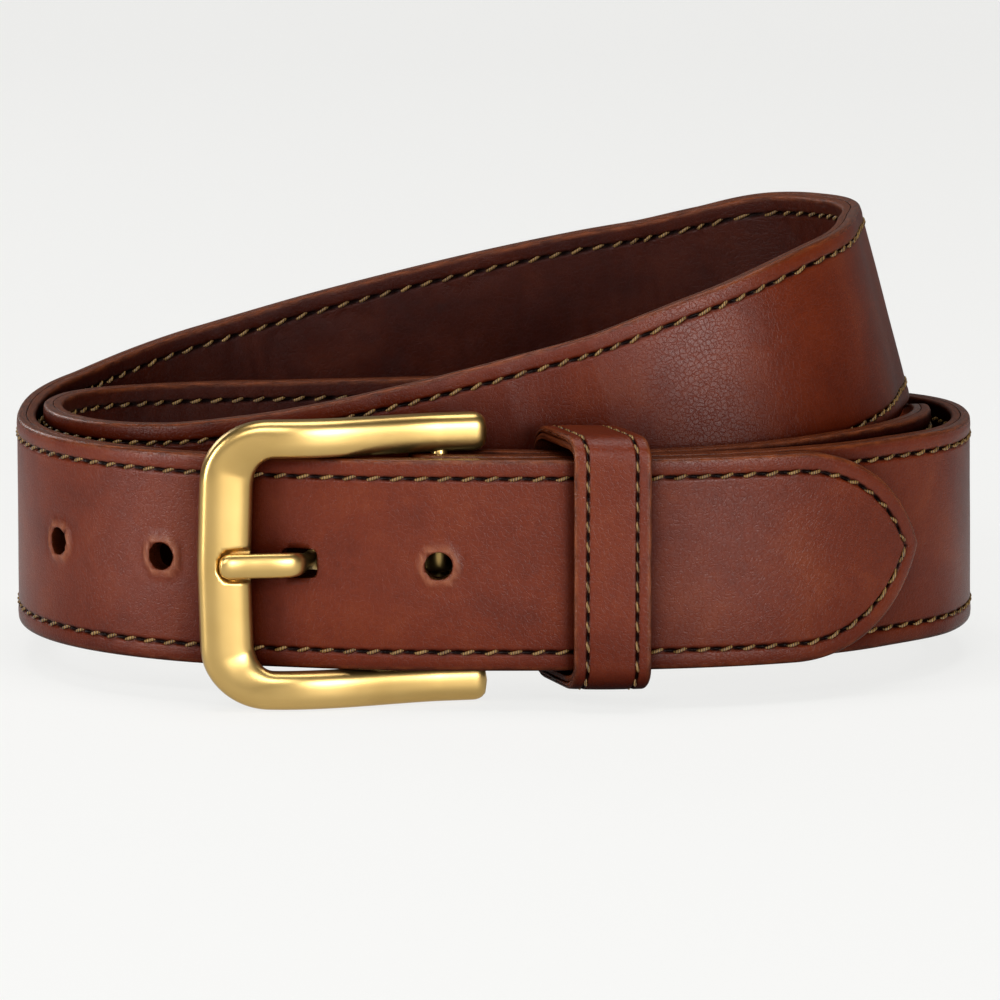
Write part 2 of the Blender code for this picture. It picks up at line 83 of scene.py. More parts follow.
# The lip round a hole and the shallow ring outside it: radius, width and height.
HOLE_LIP = (3.1, 0.5, 0.60)
HOLE_RING = (4.3, 0.6, -0.12)
PUNCH_LENGTH = 8.0
PRONG_HOLE = (6.6, 5.4)
PRONG_HOLE_SHIFT = 0.5
# The slot in the fold that the prong's eye turns in: half its length and height, then its depth and place.
FOLD_SLOT_HALF = (6.0, 3.4)
FOLD_SLOT_DEPTH = 13.2
FOLD_SLOT_SHIFT = 0.8
FOLD_SLOT_Y = -56.7
# How square the prong's hole and the fold's slot are. 2 is an oval.
SLOT_SQUARENESS = 5.0

# Coil: angle travelled, inset of the strap's middle, height of its lower edge and lean inwards.
COIL_HALF_X = 89.0
COIL_HALF_Y = 68.0
COIL_SQUARENESS = 2.5
TIP_ANGLE = 28.3
FOLD_ANGLE = 819.3
TAIL_ANGLE = 692.0
FOLD_RADIUS = 3.75
COURSE = (
    (28, 1.95, 0, 0),
    (105, 1.95, 0, 0),
    (121, 2.75, 0, 0),
    (136, 1.95, 0, 0),
    (180, 1.95, 0, 0),
    (205, 1.95, 1.9, 0),
    (230, 1.95, 9.1, 1),
    (250, 1.95, 15.6, 2),
    (270, 1.95, 21.4, 3),
    (290, 1.95, 26.8, 6),
    (300, 2, 29.5, 9),
    (310, 2.4, 33, 12),
    (320, 3.2, 36.2, 14),
    (330, 5.5, 37, 15),
    (345, 10.2, 37.4, 15),
    (362, 14.7, 37.3, 14),
    (380, 16.2, 35.6, 12),
    (400, 17, 28.9, 9),
    (420, 18.4, 21, 6),
    (437, 20.15, 16.4, 4.2),
    (450, 20.5, 13.5, 3),
    (465, 20.2, 10.5, 1.8),
    (480, 18.75, 7.4, 0.6),
    (492, 16.5, 5, 0),
    (505, 13, 2.8, 0),
    (520, 9.3, 1.8, 0),
    (530, 7.5, 1.6, 0),
    (539, 6.8, 1.4, 0),
    (547, 8.1, 1.2, 0),
    (555, 11.4, 0.9, 0),
    (564, 16.4, 0.45, 0),
    (574, 21.2, 0.2, 0),
    (585, 24.4, 0, 0),
    (598, 25.6, 0, 0),
    (611, 24.9, 0, 0),
    (630, 22.5, 0, 0),
    (652, 17.6, 0, 0),
    (672, 12, -1.8, 4),
    (681, 8.6, -2.4, 8),
    (690, 5.2, -1.9, 7),
    (700, 3.2, -1.3, 4),
    (720, 1.95, -0.4, 1),
    (735, 3.4, -0.2, 0),
    (750, 6.5, 0, 0),
    (765, 6.7, 0, 0),
    (830, 6.7, 0, 0),
)
TURN_BACK = (
    (692, 9.8, -2.4, 8),
    (705, 9.2, -2, 5),
    (713, 9.1, -1, 3),
    (724, 9.3, 1, 1),
    (737, 10, 1.6, 0),
    (752, 11.3, 1.2, 0),
    (768, 11.5, 0.4, 0),
    (785, 11.5, 0, 0),
    (790, 11.5, 0, 0),
    (803, 12.4, 0, 0),
    (813, 13.9, 0, 0),
    (830, 14.2, 0, 0),
)

# Buckle
FRAME_HALF_HEIGHT = 22.7
# Height and depth of the arms, and width and depth of the bar. Both are drawn heavier than the solid's,
# which are 6.3 high and 8.8 wide.
ARM_SIZE = (6.9, 5.0)
BAR_SIZE = (9.5, 5.2)
BAR_SHIFT = 0.35
FRAME_SQUARENESS = 2.8
FRAME_CORNER = 8.0
ARM_END = -8.8
ARM_DOME = 3.1
FRONT_BAR = (-47.9, -65.7)
ARM_BOW = 3.5
BAR_BOW = 0.8
NOTCH_FLOOR = 1.3
NOTCH_RADIUS = 2.9
NOTCH_MIDDLE = -1.0
HINGE_RADIUS = 1.5
PRONG_SIZE = (2.3, 4.5)
PRONG_EYE_RADIUS = 3.3
PRONG_BEND = (18.5, 3.2)
PRONG_COURSE = (
    (-13.0, -57.5),
    (-20.0, -57.5),
    (-28.9, -58.0),
    (-32.7, -60.0),
    (-34.0, -63.0),
    (-35.2, -65.9),
    (-37.8, -67.1),
    (-42.5, -67.8),
    (-46.0, -68.3),
    (-49.3, -69.1),
)

# Keeper
KEEPER_X = 21.0
KEEPER_SKEW = -7.0
KEEPER_WIDTH = 13.8
KEEPER_Y = (-70.8, -50.4)
KEEPER_Z = (-3.5, 42.6)
KEEPER_CORNER = 4.2
KEEPER_STITCH_INSET = 2.5
KEEPER_PITCH = 3.6
KEEPER_GROOVE = (0.34, 0.24, 0.42)
KEEPER_EDGE_ROUND = 0.55
KEEPER_CROWN = 0.16
BUTT_HALF_GAP = 0.2


# ---------------------------------------------------------------- the strap's middle line


def course_value(course, column, angle):
    """A smooth curve through one column of a course that never overshoots its rows."""
    rows = np.array(course, float)
    knots = rows[:, 0]
    values = rows[:, column]
    steps = np.diff(knots)
    slopes = np.diff(values) / steps
    tangents = np.zeros(len(knots))
    tangents[0] = slopes[0]
    tangents[-1] = slopes[-1]
    for i in range(1, len(knots) - 1):
        if slopes[i - 1] * slopes[i] > 0:
            first = 2 * steps[i] + steps[i - 1]
            second = steps[i] + 2 * steps[i - 1]
            tangents[i] = (first + second) / (first / slopes[i - 1] + second / slopes[i])
    angle = np.clip(angle, knots[0], knots[-1])
    i = np.clip(np.searchsorted(knots, angle, side="right") - 1, 0, len(steps) - 1)
    t = (angle - knots[i]) / steps[i]
    start = (2 * t**3 - 3 * t**2 + 1) * values[i] + (t**3 - 2 * t**2 + t) * steps[i] * tangents[i]
    end = (3 * t**2 - 2 * t**3) * values[i + 1] + (t**3 - t**2) * steps[i] * tangents[i + 1]
    return start + end


def coil_points(angles, course):
    """Points of the lower edge's middle at these angles, and the lean at each one."""
    inset = course_value(course, 1, angles)
    turn = -np.radians(angles)
    across = np.abs(np.cos(turn) / (COIL_HALF_X - inset)) ** COIL_SQUARENESS
    along = np.abs(np.sin(turn) / (COIL_HALF_Y - inset)) ** COIL_SQUARENESS
    radius = (across + along) ** (-1 / COIL_SQUARENESS)
    level = course_value(course, 2, angles)
    points = np.stack([radius * np.cos(turn), radius * np.sin(turn), level], axis=1)
    return points, course_value(course, 3, angles)


def hinge_centre():
    """The hinge bar's axis in plan: the fold runs round it at FOLD_RADIUS."""
    end = coil_points(np.array([FOLD_ANGLE]), COURSE)[0][0]
    return np.array([end[0], end[1] + FOLD_RADIUS])


def to_world():
    """The step from the coil's middle to the frame's origin, read off the hinge bar's box."""
    low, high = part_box("hinge_bar")
    middle = (np.array(low) + np.array(high)) / 2 / METRE
    return middle - np.array([*hinge_centre(), MID_HEIGHT])


SHIFT = to_world()


def smoothed(values, reach):
    """Each row averaged over its neighbours, which rounds off the small corners of a sampled line."""
    weights = np.hanning(2 * reach + 3)[1:-1]
    weights /= weights.sum()
    padded = np.concatenate([np.repeat(values[:1], reach, 0), values, np.repeat(values[-1:], reach, 0)])
    return np.stack([np.convolve(column, weights, "valid") for column in padded.T], axis=1)


class StrapLine:
    """The middle of the strap's lower edge, by distance from the tip."""

    def __init__(self):
        turns, turn_leans = coil_points(np.arange(TIP_ANGLE, FOLD_ANGLE, 0.5), COURSE)
        bend = np.radians(np.arange(0, 181, 6.0))
        centre = hinge_centre()
        fold_x = centre[0] - FOLD_RADIUS * np.sin(bend)
        fold_y = centre[1] - FOLD_RADIUS * np.cos(bend)
        fold = np.stack([fold_x, fold_y, 0 * bend], axis=1)
        back, back_leans = coil_points(np.arange(FOLD_ANGLE - 1.0, TAIL_ANGLE, -0.5), TURN_BACK)
        self.line = np.concatenate([turns, fold, back])
        self.leans = np.concatenate([turn_leans, 0 * bend, -back_leans])
        steps = np.linalg.norm(np.diff(self.line, axis=0), axis=1)
        self.distance = np.concatenate([[0], np.cumsum(steps)])
        self.length = self.distance[-1]
        forward = np.gradient(self.line, axis=0)
        self.forward = forward / np.linalg.norm(forward, axis=1)[:, None]

    def at(self, where):
        """Place, outward and upward directions at these distances."""

        def pick(values):
            return np.stack([np.interp(where, self.distance, column) for column in values.T], axis=1)

        place = pick(self.line)
        ahead = pick(self.forward)
        ahead /= np.linalg.norm(ahead, axis=1)[:, None]
        lean = np.radians(np.interp(where, self.distance, self.leans))[:, None]
        side = np.stack([-ahead[:, 1], ahead[:, 0], 0 * ahead[:, 0]], axis=1)
        side /= np.linalg.norm(side, axis=1)[:, None]
        up = np.cos(lean) * np.array([0, 0, 1.0]) - np.sin(lean) * side
        up -= np.sum(up * ahead, axis=1)[:, None] * ahead
        up /= np.linalg.norm(up, axis=1)[:, None]
        return place, np.cross(up, ahead), up

    def hole_distances(self):
        billet = self.line[: len(self.line) // 8]
        used = self.distance[np.argmin(np.abs(billet[:, 0] - HOLE_IN_USE_X))]
        return [used + number * HOLE_PITCH for number in HOLE_NUMBERS]


STRAP = StrapLine()


def half_width(where, inset=0.0):
    """Half the strap's width, or of the stitch lines' spacing, at these distances from the tip's point."""
    reach = (TIP_RADIUS - inset) ** 2 - np.clip(TIP_LENGTH - where, 0, None) ** 2
    return MID_HEIGHT - TIP_RADIUS + np.sqrt(np.clip(reach, 0, None))


def edge_distance(where, w):
    """How far a point of the strap's face is from its nearest edge."""
    back = np.clip(TIP_LENGTH - where, 0, None)
    return TIP_RADIUS - np.sqrt(back**2 + (np.abs(w) + TIP_RADIUS - MID_HEIGHT) ** 2)


# ---------------------------------------------------------------- meshes


def new_object(name, mesh, body, finish, node=None):
    """Puts a piece in the scene on its body, in place of a node of the frame where one is named."""
    thing = bpy.data.objects.new(name, mesh)
    bpy.context.scene.collection.objects.link(thing)
    mesh.materials.clear()
    mesh.materials.append(finish)
    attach(thing, body)
    if node:
        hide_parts(*([node] if isinstance(node, str) else node))
    return thing


def grid_mesh(name, points, closed_ends=True, values=None):
    """A closed tube through points[station, around], with each end filled."""
    count, around, _ = points.shape
    flat = (points.reshape(-1, 3) + SHIFT) * METRE
    station, side = np.meshgrid(np.arange(count - 1), np.arange(around), indexing="ij")
    following = (side + 1) % around
    corners = [station * around + side, station * around + following]
    corners += [(station + 1) * around + following, (station + 1) * around + side]
    faces = np.stack(corners, axis=-1).reshape(-1, 4).tolist()
    if closed_ends:
        faces.append(list(range(around))[::-1])
        faces.append(list(range((count - 1) * around, count * around)))
    mesh = bpy.data.meshes.new(name)
    mesh.from_pydata(flat.tolist(), [], faces)
    for label, value in (values or {}).items():
        layer = mesh.attributes.new(label, "FLOAT", "POINT")
        layer.data.foreach_set("value", np.asarray(value, np.float32).reshape(-1))
    mesh.update()
    shape = bmesh.new()
    shape.from_mesh(mesh)
    if shape.calc_volume(signed=True) < 0:
        bmesh.ops.reverse_faces(shape, faces=shape.faces)
        shape.to_mesh(mesh)
    shape.free()
    mesh.shade_smooth()
    return mesh


def soft_noise(along, across, along_scale, across_scale, seed):
    """Smooth noise over a grid of positions on the leather, in the range -1 to 1."""
    flat = np.stack([along / along_scale, across / across_scale], axis=-1).reshape(-1, 2)
    values = [noise.noise(Vector((a, b, seed))) for a, b in flat]
    return np.array(values).reshape(along.shape)


def rounded_edge(distance, reach):
    """How far the face drops at this distance from an edge rounded over this reach."""
    near = np.clip(reach - distance, 0, reach)
    return reach - np.sqrt(reach**2 - near**2)


def stitch_arc(where):
    """Length along a stitch line from its point at the tip, and its height from the strap's middle."""
    w = half_width(where, STITCH_INSET)
    steps = np.hypot(np.diff(where), np.diff(w))
    steps[w[1:] <= 0] = 0
    return np.concatenate([[0], np.cumsum(steps)]), w


def groove(distance, arc, inset, pitch, width, depth, pit_depth):
    """Depth of the crease that the stitches lie in, with a long pit where the thread goes down."""
    phase = (arc / pitch + 0.5) % 1.0 - 0.5
    pit = np.exp(-((phase / PIT_SHARE) ** 4))
    crease = np.exp(-(((distance - inset) / width) ** 2))
    hollow = np.exp(-(((distance - inset) / (0.85 * width)) ** 4))
    return crease * depth + hollow * pit * pit_depth


def face_positions(half, stitch, inner_count, groove_count, edge_count, reach=1.0):
    """Positions across the upper half of a face, closer together at the stitches and the edge."""
    inner = np.maximum(stitch - reach, 0.02)
    outer = np.minimum(np.maximum(stitch + reach, inner + 0.3), half * 0.9)
    inner = np.minimum(inner, outer * 0.8)
    parts = [inner[:, None] * np.linspace(0, 1, inner_count, endpoint=False)]
    parts.append(inner[:, None] + (outer - inner)[:, None] * np.linspace(0, 1, groove_count, endpoint=False))
    ease = 1 - (1 - np.linspace(0, 1, edge_count)) ** 2
    parts.append(outer[:, None] + (half - outer)[:, None] * ease)
    return np.concatenate(parts, axis=1)


def hide_relief(along, across, side):
    """The soft unevenness of the hide: gentle on the face and wrinkled on the lining."""
    roll = 0.10 * soft_noise(along, across, 26, 13, 3.0 + side)
    if side > 0:
        return roll + 0.025 * soft_noise(along, across, 3.5, 3.0, 9.0)
    folds = 0.24 * soft_noise(along, across, 7.0, 9.0, 5.0)
    ridges = 1 - 2.4 * np.abs(soft_noise(along, across, 5.0, 14.0, 7.0))
    return roll + folds - 0.36 * np.clip(ridges, 0, 1) ** 2


def ring_profile(away, radius, width):
    """1 on a circle of this radius, falling off to 0 on both sides of it."""
    return np.exp(-(((away - radius) / width) ** 2))


def edge_wall(half, top):
    """A ply's flat edge and its hidden back: positions across the strap and heights, for each station."""
    steps = ((1.0, 0.86), (1.0, 0.5), (1.0, 0.14), (1.0, 0.05), (0.995, 0.0), (0.95, 0.0))
    upper_w = np.stack([half * share for share, _ in steps], axis=1)
    heights = np.stack([PLY_SEAM + (top - PLY_SEAM) * part + 0 * half for _, part in steps], axis=1)
    centre = 0 * half[:, None]
    across = np.concatenate([upper_w, centre, -upper_w[:, ::-1]], axis=1)
    return across, np.concatenate([heights, centre + PLY_SEAM, heights[:, ::-1]], axis=1)


def strap_ply(name, side, finish, node):
    """One ply of the strap, its detailed face outwards (side 1) or inwards (side -1)."""
    tip = TIP_BLUNT + (np.linspace(0, 1, 48) ** 1.6) * TIP_LENGTH
    rest = np.arange(tip[-1] + STATION_STEP, STRAP.length, STATION_STEP)
    where = np.concatenate([tip, rest])
    place, out, up = STRAP.at(where)
    half = half_width(where)
    arc, stitch = stitch_arc(where)
    upper = face_positions(half, stitch, 10, 12, 10)
    w = np.concatenate([-upper[:, ::-1], upper[:, 1:]], axis=1)
    grid = np.repeat(where[:, None], w.shape[1], axis=1)
    distance = np.clip(edge_distance(grid, w), 0, None)
    arcs = np.repeat(arc[:, None], w.shape[1], axis=1)
    sunk = groove(distance, arcs, STITCH_INSET, STITCH_PITCH, *STITCH_GROOVE)
    fade = np.clip(distance / RELIEF_FADE, 0, 1)
    swell = EDGE_SWELL[2] * ring_profile(distance, *EDGE_SWELL[:2])
    height = HALF_THICK - FACE_DROP - rounded_edge(distance, EDGE_ROUND) - sunk + swell
    height += RELIEF_SHARE * fade * hide_relief(grid, w, side)
    lip_highlight = 0 * height
    if side > 0:
        # A raised lip round each punched hole, whose ring also masks a painted highlight.
        for number, spot in zip(HOLE_NUMBERS, STRAP.hole_distances()):
            if number:
                away = np.hypot(grid - spot, w)
                ridge = ring_profile(away, *HOLE_LIP[:2])
                lip_highlight += ridge
                height += HOLE_LIP[2] * ridge + HOLE_RING[2] * ring_profile(away, *HOLE_RING[:2])
    back_w, back_h = edge_wall(half, HALF_THICK - FACE_DROP - EDGE_ROUND)
    all_w = np.concatenate([w, back_w], axis=1)
    all_h = side * np.concatenate([height, back_h], axis=1)
    points = place[:, None] + out[:, None] * all_h[..., None] + up[:, None] * (MID_HEIGHT + all_w)[..., None]
    hidden = np.zeros(back_w.shape)
    values = {
        "rim": np.concatenate([distance, hidden], axis=1),
        "along": np.repeat(where[:, None], all_w.shape[1], axis=1),
        "across": all_w,
        "level": all_h,
        "sunk": np.concatenate([sunk, hidden], axis=1),
        "lip_highlight": np.concatenate([lip_highlight, hidden], axis=1),
    }
    mesh = grid_mesh(name, points, values=values)
    return new_object(name, mesh, "strap", finish, node)


def tube(path, radii, sides=6):
    """Rings of a round tube along each path[thread, station]."""
    ahead = np.gradient(path, axis=1)
    ahead /= np.linalg.norm(ahead, axis=2)[..., None]
    helper = np.where(np.abs(ahead[..., 2:3]) > 0.9, np.array([1.0, 0, 0]), np.array([0, 0, 1.0]))
    first = np.cross(ahead, helper)
    first /= np.linalg.norm(first, axis=2)[..., None]
    second = np.cross(ahead, first)
    turns = np.arange(sides) * math.tau / sides
    ring = first[:, :, None] * np.cos(turns)[:, None] + second[:, :, None] * np.sin(turns)[:, None]
    return path[:, :, None] + ring * radii[..., None, None]


def many_tubes(name, rings):
    """One mesh of separate closed tubes from rings[thread, station, side]."""
    threads, count, around, _ = rings.shape
    flat = (rings.reshape(-1, 3) + SHIFT) * METRE
    station, side = np.meshgrid(np.arange(count - 1), np.arange(around), indexing="ij")
    following = (side + 1) % around
    corners = [station * around + side, station * around + following]
    corners += [(station + 1) * around + following, (station + 1) * around + side]
    quads = np.stack(corners, axis=-1).reshape(-1, 4)
    faces = []
    for thread in range(threads):
        start = thread * count * around
        faces += (quads + start).tolist()
        faces.append([start + i for i in range(around)][::-1])
        faces.append([start + (count - 1) * around + i for i in range(around)])
    mesh = bpy.data.meshes.new(name)
    mesh.from_pydata(flat.tolist(), [], faces)
    shape = bmesh.new()
    shape.from_mesh(mesh)
    bmesh.ops.recalc_face_normals(shape, faces=shape.faces)
    shape.to_mesh(mesh)
    shape.free()
    mesh.shade_smooth()
    return mesh


def stitch_shape(count, dive):
    """Along one stitch: its position from 0 to 1, how deep it lies and its radius."""
    t = np.linspace(0, 1, count)
    lift = np.abs(2 * t - 1)
    return t, dive * lift**3, THREAD_RADIUS * (1 - 0.2 * lift**2)


def strap_stitches(name, side, row, finish, node):
    """A row of slanted stitches along one edge of the strap: row 1 is the upper edge and -1 the lower."""
    where = np.arange(0.5, STRAP.length, 0.25)
    arc, w = stitch_arc(where)
    number = int((arc[-1] - 2) / STITCH_PITCH)
    t, dive, radius = stitch_shape(11, 0.85)
    first, last = STITCH_SHARE
    # A little unevenness, the same each run.
    count = np.arange(number)[:, None]
    wobble = np.sin(count * 2.4) * np.cos(count * 0.83)
    arcs = STITCH_PITCH * (count + first + (last - first) * t[None, :] + 0.015 * wobble)
    spots = np.interp(arcs, arc, where)
    heights = np.interp(arcs, arc, w) * row
    slant = (t[None, :] - 0.5) * (0.85 + 0.18 * wobble)
    place, out, up = STRAP.at(spots.reshape(-1))
    depth = HALF_THICK - THREAD_DEPTH - dive[None, :] + 0.04 * wobble
    level = MID_HEIGHT + heights - slant * side
    path = place + out * (side * depth).reshape(-1, 1) + up * level.reshape(-1, 1)
    path = path.reshape(number, len(t), 3)
    radii = np.repeat(radius[None, :], number, axis=0)
    mesh = many_tubes(name, tube(path, radii, 8))
    return new_object(name, mesh, "strap", finish, node)


def cylinder_points(centre, axis, across, up, radius_across, radius_up, length, squareness=2.0):
    """The two end rings of a straight bar along an axis."""
    x, y = rounded_section(2 * radius_across, 2 * radius_up, 40, squareness)
    ring = across * x[:, None] + up * y[:, None]
    ends = [centre - axis * length / 2, centre + axis * length / 2]
    return np.stack([end + ring for end in ends])


def punch_tools():
    """Closed solids for the strap's holes and the slot in its fold, in one hidden object."""
    tools = []
    for number, spot in zip(HOLE_NUMBERS, STRAP.hole_distances()):
        place, out, up = (value[0] for value in STRAP.at(np.array([spot])))
        ahead = np.cross(out, up)
        middle = place + up * MID_HEIGHT
        wide, tall, squareness = HOLE_RADIUS, HOLE_RADIUS, 2.0
        if number == 0:
            squareness = SLOT_SQUARENESS
            middle = middle - ahead * PRONG_HOLE_SHIFT
            wide, tall = (size / 2 for size in PRONG_HOLE)
        tools.append(cylinder_points(middle, out, ahead, up, wide, tall, PUNCH_LENGTH, squareness))
    centre = hinge_centre()
    x_axis, y_axis, z_axis = np.eye(3)
    middle = np.array([centre[0] - FOLD_SLOT_SHIFT, FOLD_SLOT_Y, MID_HEIGHT])
    sizes = (*FOLD_SLOT_HALF, FOLD_SLOT_DEPTH, SLOT_SQUARENESS)
    tools.append(cylinder_points(middle, y_axis, x_axis, z_axis, *sizes))
    shape = bmesh.new()
    for rings in tools:
        loops = [[shape.verts.new((point + SHIFT) * METRE) for point in ring] for ring in rings]
        for i in range(len(loops[0])):
            j = (i + 1) % len(loops[0])
            shape.faces.new((loops[0][i], loops[0][j], loops[1][j], loops[1][i]))
        shape.faces.new(loops[0])
        shape.faces.new(loops[1])
    bmesh.ops.recalc_face_normals(shape, faces=shape.faces)
    mesh = bpy.data.meshes.new("punches")
    shape.to_mesh(mesh)
    shape.free()
    return mesh


def punch(things):
    """Cuts the holes out of each ply, then drops the cutter."""
    tool = bpy.data.objects.new("punches", punch_tools())
    bpy.context.scene.collection.objects.link(tool)
    for thing in things:
        cut = thing.modifiers.new("holes", "BOOLEAN")
        cut.operation = "DIFFERENCE"
        cut.solver = "EXACT"
        cut.object = tool
        graph = bpy.context.evaluated_depsgraph_get()
        mesh = bpy.data.meshes.new_from_object(thing.evaluated_get(graph))
        thing.modifiers.clear()
        old = thing.data
        thing.data = mesh
        mesh.name = old.name + "_cut"
        bpy.data.meshes.remove(old)
    bpy.data.objects.remove(tool, do_unlink=True)


# ---------------------------------------------------------------- buckle


def buckle_axes():
    """In plan: the hinge's centre, the directions along and out of the frame, and the frame's length."""
    centre = hinge_centre()
    reach = np.array(FRONT_BAR) - centre
    length = np.linalg.norm(reach)
    along = reach / length
    return centre, along, np.array([-along[1], along[0]]), length


def in_buckle(along_plane, outward, height):
    """Points in the buckle's own plane: from the hinge to the front bar, outwards, and up."""
    centre, along, normal, _ = buckle_axes()
    plan = centre + along * along_plane[..., None] + normal * outward[..., None]
    return np.concatenate([plan, (MID_HEIGHT + height)[..., None]], axis=-1)


def rounded_section(width, depth, count, squareness):
    """Points round a section between an oval, squareness 2, and a rectangle."""
    turns = (np.arange(count) + 0.5) * math.tau / count
    x = np.sign(np.cos(turns)) * np.abs(np.cos(turns)) ** (2 / squareness)
    y = np.sign(np.sin(turns)) * np.abs(np.sin(turns)) ** (2 / squareness)
    return x * width / 2, y * depth / 2


def frame_middle_line(count=260):
    """The frame's middle line from one arm's end round to the other's, closer spaced at the notch."""
    length = buckle_axes()[3]
    bend_x = length - FRAME_CORNER
    bend_z = FRAME_HALF_HEIGHT - FRAME_CORNER
    corner = np.radians(np.linspace(90, 0, 24))
    arm = np.linspace(ARM_END, bend_x, 30)[:-1]
    bar = np.linspace(bend_z, 0, 12)[1:]
    x = np.concatenate([arm, bend_x + FRAME_CORNER * np.cos(corner), np.full(len(bar), length)])
    rise = bend_z + FRAME_CORNER * np.sin(corner)
    z = np.concatenate([np.full(len(arm), FRAME_HALF_HEIGHT), rise, bar])
    x = x + BAR_BOW * np.clip(1 - np.abs(z) / FRAME_HALF_HEIGHT, 0, 1) ** 0.8
    x = np.concatenate([x, x[::-1][1:]])
    z = np.concatenate([z, -z[::-1][1:]])
    line = smoothed(np.stack([x, z], axis=1), 2)
    line[[0, -1], 0] = ARM_END
    distance = np.concatenate([[0], np.cumsum(np.hypot(*np.diff(line, axis=0).T))])
    share = np.linspace(-1, 1, count)
    middle_heavy = np.sign(share) * (0.45 * np.abs(share) + 0.55 * np.abs(share) ** 2.2)
    ends_heavy = np.sin(middle_heavy * math.pi / 2) * 0.35 + middle_heavy * 0.65
    wanted = (ends_heavy + 1) / 2 * distance[-1]
    return np.stack([np.interp(wanted, distance, column) for column in line.T], axis=1), wanted


def make_frame(finish):
    """The buckle's front bar and two arms, with domed ends and a rest for the prong."""
    line, travelled = frame_middle_line()
    length = buckle_axes()[3]
    ahead = np.gradient(line, axis=0)
    ahead /= np.linalg.norm(ahead, axis=1)[:, None]
    share = np.clip((line[:, 0] - (length - FRAME_CORNER)) / FRAME_CORNER, 0, 1) ** 1.5
    unit_a, unit_b = rounded_section(1.0, 1.0, 64, FRAME_SQUARENESS)
    width = ARM_SIZE[0] + (BAR_SIZE[0] - ARM_SIZE[0]) * share
    depth = ARM_SIZE[1] + (BAR_SIZE[1] - ARM_SIZE[1]) * share
    from_end = np.minimum(travelled, travelled[-1] - travelled)
    dome = np.clip(1 - np.clip(1 - from_end / ARM_DOME, 0, 1) ** 2.6, 0.0004, 1) ** (1 / 2.6)
    a = unit_a * (width * dome)[:, None]
    b = unit_b * (depth * dome)[:, None]
    bow = ARM_BOW * np.sin(math.pi * np.clip(line[:, 0] / length, 0, 1) ** 1.4)
    x = line[:, :1] - (BAR_SHIFT * share)[:, None] - ahead[:, 1:] * a
    z = line[:, 1:] + ahead[:, :1] * a
    # The rest for the prong: a round-ended hollow in the front of the bar.
    nearest = np.clip(x, -np.inf, length + NOTCH_MIDDLE)
    gap = np.hypot(x - nearest, z) - NOTCH_RADIUS
    inside = 1 - np.clip((gap + 0.22) / 0.44, 0, 1)
    inside = inside**2 * (3 - 2 * inside)
    b = np.where(share[:, None] > 0.5, b * (1 - inside) + np.minimum(b, NOTCH_FLOOR) * inside, b)
    points = in_buckle(x, b + bow[:, None], z)
    mesh = grid_mesh("belt_buckle_frame", points)
    return new_object("belt_buckle_frame", mesh, "buckle", finish, "buckle_frame")


def smooth_path(points, count):
    points = np.array(points, float)
    ends = np.concatenate([[2 * points[0] - points[1]], points, [2 * points[-1] - points[-2]]])
    t = np.linspace(0, 1, 16, endpoint=False)[:, None]
    pieces = []
    for i in range(len(points) - 1):
        a, b, c, d = ends[i : i + 4]
        curve = 2 * b + (c - a) * t + (2 * a - 5 * b + 4 * c - d) * t**2 + (3 * b - a - 3 * c + d) * t**3
        pieces.append(0.5 * curve)
    fine = np.concatenate(pieces + [points[-1:]])
    distance = np.concatenate([[0], np.cumsum(np.linalg.norm(np.diff(fine, axis=0), axis=1))])
    wanted = np.linspace(0, distance[-1], count)
    line = np.stack([np.interp(wanted, distance, column) for column in fine.T], axis=1)
    return line, wanted


def make_prong(finish):
    """The prong's tongue, with a rounded tip, and the eye that turns on the hinge bar."""
    path, travelled = smooth_path(PRONG_COURSE, 150)
    path = smoothed(path, 4)
    ahead = np.gradient(path, axis=0)
    ahead /= np.linalg.norm(ahead, axis=1)[:, None]
    unit_a, unit_b = rounded_section(1.0, 1.0, 48, 2.25)
    left = travelled[-1] - travelled
    round_end = np.sqrt(np.clip(1 - np.clip(1 - left / 2.3, 0, 1) ** 2, 0.0004, 1))
    # Where it bends down into its hole the prong narrows, so that the bend looks rounded from the front.
    bend = np.exp(-(((left - PRONG_BEND[0]) / PRONG_BEND[1]) ** 2))
    a = unit_a * (PRONG_SIZE[0] * (0.35 + 0.65 * round_end))[:, None] * np.minimum(1, round_end * 3)[:, None]
    b = unit_b * (PRONG_SIZE[1] * round_end * (1 - 0.32 * bend))[:, None]
    x = path[:, :1] - ahead[:, 1:] * a
    y = path[:, 1:] + ahead[:, :1] * a
    points = np.stack([x, y, MID_HEIGHT + b], axis=-1)
    tongue = grid_mesh("belt_prong", points)
    prong = new_object("belt_prong", tongue, "prong", finish, "prong")
    centre = hinge_centre()
    turns = np.linspace(0, math.tau, 49)[:-1]
    section = np.linspace(0, math.tau, 25)[:-1]
    thick = (PRONG_EYE_RADIUS - HINGE_RADIUS - 0.3) / 2
    radius = HINGE_RADIUS + 0.3 + thick
    ring_r = radius + thick * np.sign(np.cos(section)) * np.abs(np.cos(section)) ** 0.7
    ring_z = PRONG_SIZE[1] / 2 * np.sign(np.sin(section)) * np.abs(np.sin(section)) ** 0.5
    x = centre[0] + ring_r[None, :] * np.cos(turns)[:, None]
    y = centre[1] + ring_r[None, :] * np.sin(turns)[:, None]
    z = np.repeat(MID_HEIGHT + ring_z[None, :], len(turns), axis=0)
    eye_points = np.stack([x, y, z], axis=-1)
    eye_points = np.concatenate([eye_points, eye_points[:1]])
    eye = grid_mesh("belt_prong_eye", eye_points, closed_ends=False)
    shape = bmesh.new()
    shape.from_mesh(eye)
    bmesh.ops.remove_doubles(shape, verts=shape.verts, dist=1e-7)
    shape.to_mesh(eye)
    shape.free()
    new_object("belt_prong_eye", eye, "prong", finish)
    return prong


